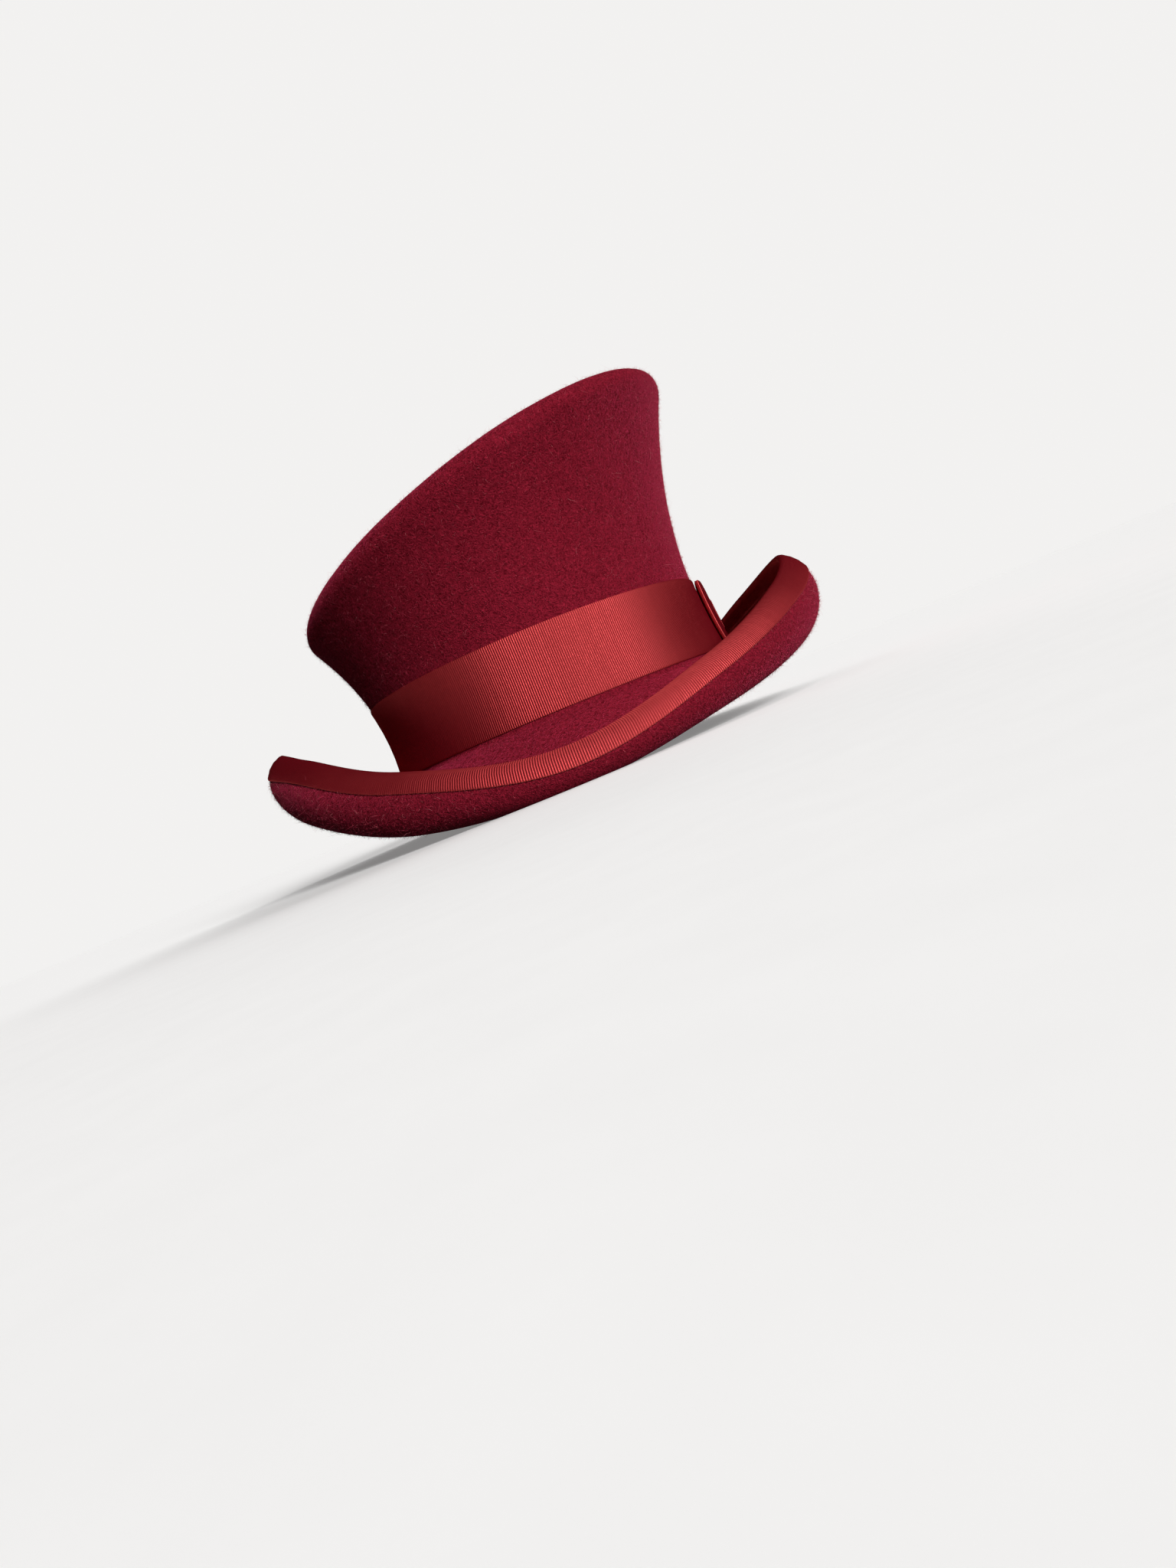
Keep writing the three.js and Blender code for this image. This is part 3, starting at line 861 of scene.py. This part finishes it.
def binding_mesh():
    """Binding: ribbon folded over the rolled edge, its free edges pressed to the felt."""
    def line(angle):
        roll = brim_roll(angle)
        return place(angle, roll["out"] + roll["radius"] * np.cos(roll["end"]),
                     roll["height"] + roll["radius"] * np.sin(roll["end"]))

    ribs = rib_count(line)
    angle = even_angles(line, ribs * RIB_SAMPLES)
    roll = {key: value[:, None] for key, value in brim_roll(angle).items()}

    def at(radius, turn, ahead):
        out = roll["out"] + radius * np.cos(turn) - ahead * np.sin(turn)
        height = roll["height"] + radius * np.sin(turn) + ahead * np.cos(turn)
        return place(angle[:, None], out, height)

    def leg(side, share, clear):
        turn = roll["bound"] + (roll["end"] - roll["bound"]) * share
        middle = roll["radius"] - FELT / 2
        return at(middle + side * (FELT / 2 + clear), turn, 0.0)

    def fold(turn, clear):
        half = FELT / 2 + clear
        return at(roll["radius"] - FELT / 2 + half * np.cos(turn), roll["end"], GAP + half * np.sin(turn))

    share = np.array([BINDING_ROWS])
    clear = GAP + SHOWN_RIBBON - EDGE_PRESS * (1 - smooth(share * BINDING_WIDTH, 0, EDGE_REACH))
    back = np.array([[0.0, 1.0]])
    fold_turn = np.radians(np.linspace(0, 180, BINDING_FOLD_STEPS + 1)[None, 1:-1])
    outside = [
        leg(1, share, clear),
        fold(fold_turn, GAP + SHOWN_RIBBON),
        leg(-1, share[:, ::-2], clear[:, ::-2]),
    ]
    inside = [leg(-1, back, RIBBON_SEAT), leg(1, back[:, ::-1], RIBBON_SEAT)]
    points = np.concatenate(outside + inside, axis=1)
    ribbed = np.repeat([1.0, 0.0], [sum(part.shape[1] for part in group) for group in (outside, inside)])
    across = np.append(0, np.cumsum(np.linalg.norm(np.diff(points[0], axis=0), axis=-1)))
    return ring_mesh("brim_binding_ribbon", points, ribs, across, ribbed)


def on_band(along, up, out):
    """Point of the bow: along the band, up from its middle line and out from its face."""
    angle = BOW_AT + along / HEAD_HALF_LENGTH
    height = BAND_FOOT + BAND_WIDTH / 2 + up
    return place(angle, wall_out(angle, height) + GAP + RIBBON + out, height)


BACK_LINE = GAP + RIBBON / 2


def bow_back(along):
    """How far the bow's back stands out from the band, with room for the wrap in the middle."""
    gathered = 1 - smooth(np.abs(along), BOW_GATHER_REACH, 2 * BOW_GATHER_REACH)
    return BACK_LINE + (RIBBON + GAP) * gathered


def bow_front(along):
    """How far the bow's front stands out from the band, puffed towards the middle."""
    flat = smooth(np.abs(along), BOW_GATHER_REACH, BOW_HALF_LENGTH - BOW_FOLD_RADIUS)
    return BACK_LINE + 2 * BOW_FOLD_RADIUS + BOW_RISE * (1 - flat)


def loop_mesh(name, path, half_width, to_space):
    """Ribbon along a closed flat path, with a half width at each point, carried to the hat by a function."""
    closed = np.concatenate([path, path[:1]])
    lengths = np.append(0, np.cumsum(np.linalg.norm(np.diff(closed, axis=0), axis=-1)))
    ribs = round(lengths[-1] / RIB_PITCH)
    along = np.arange(ribs * RIB_SAMPLES) / (ribs * RIB_SAMPLES) * lengths[-1]
    line = np.stack([np.interp(along, lengths, closed[:, axis]) for axis in (0, 1)], -1)
    half = np.interp(along, lengths, np.append(half_width, half_width[0]))
    tangent = np.roll(line, -RIB_SAMPLES, axis=0) - np.roll(line, RIB_SAMPLES, axis=0)
    tangent /= np.linalg.norm(tangent, axis=-1, keepdims=True)
    normal = np.stack([tangent[:, 1], -tangent[:, 0]], -1)
    across = np.concatenate([LOOP_OUTER_ROWS, LOOP_INNER_ROWS])
    side = np.repeat([0.5, -0.5], [len(LOOP_OUTER_ROWS), len(LOOP_INNER_ROWS)]) * SHOWN_RIBBON
    side[[0, len(LOOP_OUTER_ROWS) - 1]] -= LOOP_EDGE_PRESS
    flat = line[:, None] + normal[:, None] * side[None, :, None]
    points = to_space(flat[..., 0], flat[..., 1], half[:, None] * across[None])
    ribbed = (side > 0).astype(float) * LOOP_RIB_SHARE
    distance = np.append(0, np.cumsum(np.abs(np.diff(across)))) * half.max()
    return ring_mesh(name, points, ribs, distance, ribbed)


def bow_loops_mesh():
    """Flat loop of the bow: back run, fold, front run and the other fold."""
    end = BOW_HALF_LENGTH - BOW_FOLD_RADIUS
    run = np.linspace(-end, end, LOOP_RUN_STEPS + 1)
    turn = np.linspace(-math.pi / 2, math.pi / 2, LOOP_TURN_STEPS + 1)[1:-1]
    fold = np.stack([end + BOW_FOLD_RADIUS * np.cos(turn),
                     BACK_LINE + BOW_FOLD_RADIUS * (1 + np.sin(turn))], -1)
    other_fold = fold[::-1] * [-1, 1]
    back = np.stack([run, bow_back(run)], -1)
    front = np.stack([run[::-1], bow_front(run[::-1])], -1)
    path = np.concatenate([back, fold, front, other_fold])
    gathered = np.repeat(
        [BOW_GATHER_BACK, BOW_GATHER_FRONT], [len(back) + len(fold), len(front) + len(other_fold)])
    spread = smooth(np.abs(path[:, 0]), BOW_GATHER_REACH, BOW_SPREAD_REACH)
    half = gathered + (BOW_HALF_HEIGHT - gathered) * spread
    return loop_mesh("bow_loops_ribbon", path, half, lambda along, out, up: on_band(along, up, out))


def bow_knot_mesh():
    """Wrap round the middle of the bow, through four rounded corners."""
    half_height = BOW_GATHER_BACK + GAP + RIBBON / 2
    front_line = bow_front(0.0) + RIBBON + GAP
    corners = (
        (half_height - KNOT_CORNER_RADIUS, front_line - KNOT_CORNER_RADIUS, KNOT_CORNER_RADIUS, 0.0),
        (KNOT_CORNER_RADIUS - half_height, front_line - KNOT_CORNER_RADIUS, KNOT_CORNER_RADIUS, 0.5),
        (KNOT_BACK_RADIUS - half_height, BACK_LINE + KNOT_BACK_RADIUS, KNOT_BACK_RADIUS, 1.0),
        (half_height - KNOT_BACK_RADIUS, BACK_LINE + KNOT_BACK_RADIUS, KNOT_BACK_RADIUS, 1.5),
    )
    arcs = []
    for up, out, radius, start in corners:
        turn = np.linspace(0, math.pi / 2, LOOP_TURN_STEPS + 1) + start * math.pi
        arcs.append(np.stack([up + radius * np.cos(turn), out + radius * np.sin(turn)], -1))
    path = np.concatenate(arcs)
    half = np.full(len(path), KNOT_HALF_WIDTH)
    return loop_mesh("bow_knot_ribbon", path, half, lambda up, out, along: on_band(along, up, out))


for step, (make, node) in enumerate((
        (band_mesh, "hat_band"), (binding_mesh, "brim_binding"),
        (bow_loops_mesh, "bow_loops"), (bow_knot_mesh, "bow_knot"))):
    ribbed_piece(make(), SEEDS["ribs"] + step, node)


# Stitches along the binding's lower edge

def stitch_tree():
    """Short stitches laid along a line of edges."""
    net, given, end = node_group(
        "Edge stitches", "GeometryNodeTree",
        {"Geometry": "Geometry", "Spacing": "Float", "Length": "Float", "Thickness": "Float",
         "Wander": "Float", "Seed": "Int", "Thread": "Material"},
        {"Geometry": "Geometry"})
    line = net.term("GeometryNodeMeshToCurve", {"Mesh": given["Geometry"]})
    stations = net.add(
        "GeometryNodeCurveToPoints", {"Curve": line, "Length": given["Spacing"]}, mode="LENGTH")
    ball = net.term("GeometryNodeMeshUVSphere", {"Segments": 6, "Rings": 4, "Radius": 0.5})
    stitch = net.term("GeometryNodeTransform", {
        "Geometry": ball, "Scale": net.combine(given["Thickness"], given["Thickness"], given["Length"])})
    smooth_stitch = net.term("GeometryNodeSetShadeSmooth", {0: stitch})
    tilt = net.term("FunctionNodeRandomValue", {
        0: net.combine(0.0 - given["Wander"], 0.0 - given["Wander"], 0.0),
        1: net.combine(given["Wander"], given["Wander"], 0.0), "Seed": given["Seed"]},
        data_type="FLOAT_VECTOR")
    rotation = net.term("FunctionNodeRotateRotation", {
        "Rotation": net.out(stations, "Rotation"),
        "Rotate By": net.term("FunctionNodeEulerToRotation", {0: tilt})}, rotation_space="LOCAL")
    sewn = net.term("GeometryNodeInstanceOnPoints", {
        "Points": net.out(stations, "Points"), "Instance": smooth_stitch, "Rotation": rotation})
    realized = net.term("GeometryNodeRealizeInstances", {0: sewn})
    net.feed(end.inputs[0], net.term("GeometryNodeSetMaterial", {
        "Geometry": realized, "Material": given["Thread"]}))
    return net.tree


def stitch_line():
    """Closed line of edges just below the binding on the rolled side."""
    angle = full_turn(STITCH_LINE_STEPS)
    roll = brim_roll(angle)
    turn = roll["bound"] - STITCH_BELOW / roll["radius"]
    radius = roll["radius"] + STITCH_RAISE
    points = place(angle, roll["out"] + radius * np.cos(turn), roll["height"] + radius * np.sin(turn))
    mesh = bpy.data.meshes.new("binding_stitches")
    edges = [(i, (i + 1) % len(angle)) for i in range(len(angle))]
    mesh.from_pydata((points * MM + HEADLINE).tolist(), edges, [])
    return mesh


binding_stitches = run_tree(stitch_tree(), new_object("binding_stitches", stitch_line()), {
    "Spacing": STITCH_SPACING * MM, "Length": STITCH_LENGTH * MM, "Thickness": STITCH_THICKNESS * MM,
    "Wander": STITCH_WANDER, "Seed": SEEDS["stitches"], "Thread": thread})
finish_piece(binding_stitches, "ribbon")


# Studio: flat floor, lights and camera

def studio_floor():
    """Wide pale floor under the hat, lit softly through, which throws no light back up at it."""
    angle = full_turn(FLOOR_STEPS)
    rim = np.stack([np.cos(angle), np.sin(angle), 0 * angle], -1) * FLOOR_RADIUS * MM
    mesh = bpy.data.meshes.new("studio_floor")
    mesh.from_pydata(rim.tolist(), [], [list(range(len(angle)))])
    material, net, shader = new_material("pale_paper")
    paper = net.noise(net.term("ShaderNodeTexCoord", key="Object"), PAPER_GRAINS_PER_METRE, 4.0)
    net.feed(shader.inputs["Base Color"], net.mix(paper, PAPER_DEEP, PAPER_BRIGHT))
    set_sockets(shader, Roughness=0.9, Specular_IOR_Level=0.1, Emission_Color=ROOM_WHITE,
                Emission_Strength=0.22)
    floor = new_object("studio_floor", mesh)
    floor.data.materials.append(material)
    floor.visible_diffuse = False


def camera_axes():
    """The camera's right, up and forward directions."""
    forward = Vector((math.sin(CAMERA_YAW) * math.cos(CAMERA_PITCH),
                      math.cos(CAMERA_YAW) * math.cos(CAMERA_PITCH), -math.sin(CAMERA_PITCH)))
    level = Vector((math.cos(CAMERA_YAW), -math.sin(CAMERA_YAW), 0.0))
    upright = level.cross(forward)
    right = level * math.cos(CAMERA_ROLL) - upright * math.sin(CAMERA_ROLL)
    up = upright * math.cos(CAMERA_ROLL) + level * math.sin(CAMERA_ROLL)
    return right, up, forward


def add_camera():
    """Camera at the photo's angle to the hat."""
    right, up, forward = camera_axes()
    data = bpy.data.cameras.new("photo_view")
    data.lens = CAMERA_LENS
    data.clip_start = CAMERA_CLIP * MM
    camera = new_object("photo_view", data)
    camera.matrix_world = Matrix.Translation(Vector(CAMERA_PLACE * MM + HEADLINE)) @ Matrix(
        (right, up, -forward)).transposed().to_4x4()
    bpy.context.scene.camera = camera


def add_light(name, heading, spread, strength, glints):
    """Soft distant light from a heading: right of, above and in front of the hat, as the camera sees it."""
    right, up, forward = camera_axes()
    source = right * heading[0] + up * heading[1] - forward * heading[2]
    data = bpy.data.lights.new(name, "SUN")
    data.angle = math.radians(spread)
    data.energy = strength
    light = new_object(name, data)
    light.visible_glossy = glints
    light.rotation_euler = source.to_track_quat("Z", "Y").to_euler()


def add_world():
    """Soft light from all round, stronger from one side, with a pale ground behind the hat."""
    world = bpy.data.worlds.new("soft_studio")
    world.use_nodes = True
    net = Net(world.node_tree)
    right, up, _ = camera_axes()
    heading = net.term("ShaderNodeTexCoord", key="Generated")
    bright_heading = right * BRIGHT_RIGHT + up * BRIGHT_UP
    side = net.term("ShaderNodeVectorMath", {0: heading, 1: bright_heading}, "Value",
                    operation="DOT_PRODUCT")
    room = net.ramp(side, DARK_UNTIL, 1.0) * (BRIGHT_SIDE - DARK_SIDE) + DARK_SIDE
    seen = net.term("ShaderNodeLightPath", key="Is Camera Ray")
    background = world.node_tree.nodes["Background"]
    net.feed(background.inputs["Strength"], seen * (PALE_GROUND - room) + room)
    background.inputs["Color"].default_value = ROOM_WHITE
    bpy.context.scene.world = world


studio_floor()
add_camera()
add_world()
for name, settings in LIGHTS.items():
    add_light(name, **settings)
bpy.context.scene.view_settings.view_transform = "Standard"
